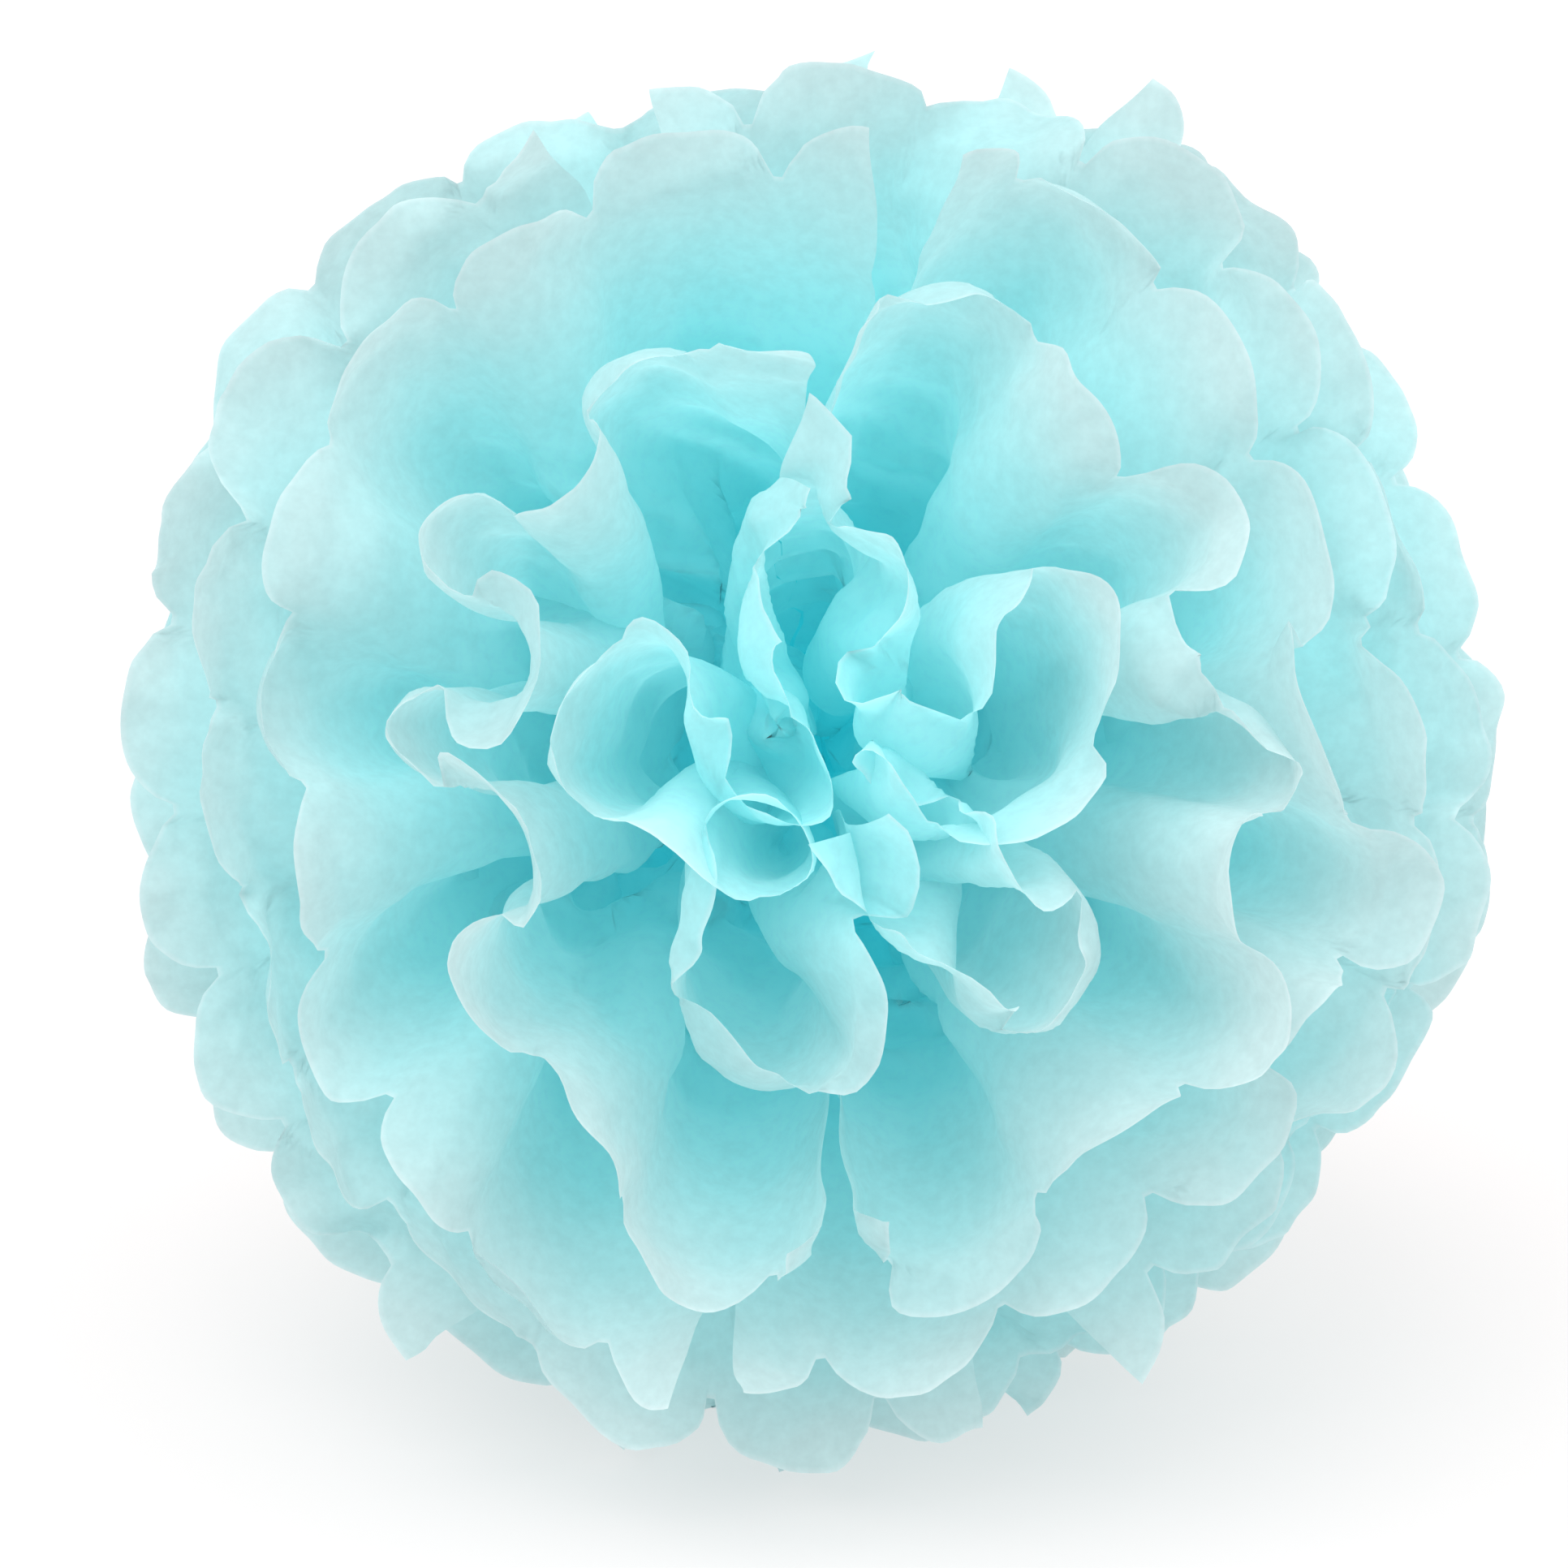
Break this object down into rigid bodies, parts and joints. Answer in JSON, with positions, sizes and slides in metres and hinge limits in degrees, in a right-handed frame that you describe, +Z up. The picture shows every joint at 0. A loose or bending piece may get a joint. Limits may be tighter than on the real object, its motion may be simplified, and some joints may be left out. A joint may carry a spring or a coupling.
{
  "type": "tissue paper pom pom",
  "caption": "Ball of fluffed tissue paper petals: pleated sheets with rounded ends, gathered at the middle by a wire.",
  "frame": {"origin": "on the surface, under the middle of the ball", "axes": "+Z up; the middle of the front ring of petals faces -Y and looks a little upwards; +X to its right, seen from the front"},
  "size_m": [0.2559, 0.2638, 0.2456],
  "materials": {
    "tissue_paper": "matte",
    "bare_wire": "satin"
  },
  "bodies": {
    "root": {"front_sheet_1": "tissue_paper", "front_sheet_2": "tissue_paper", "front_sheet_3": "tissue_paper", "front_sheet_4": "tissue_paper", "front_sheet_5": "tissue_paper", "front_sheet_6": "tissue_paper", "back_sheet_1": "tissue_paper", "back_sheet_2": "tissue_paper", "back_sheet_3": "tissue_paper", "back_sheet_4": "tissue_paper", "back_sheet_5": "tissue_paper", "back_sheet_6": "tissue_paper", "tie_wire": "bare_wire"}
  },
  "joints": []
}
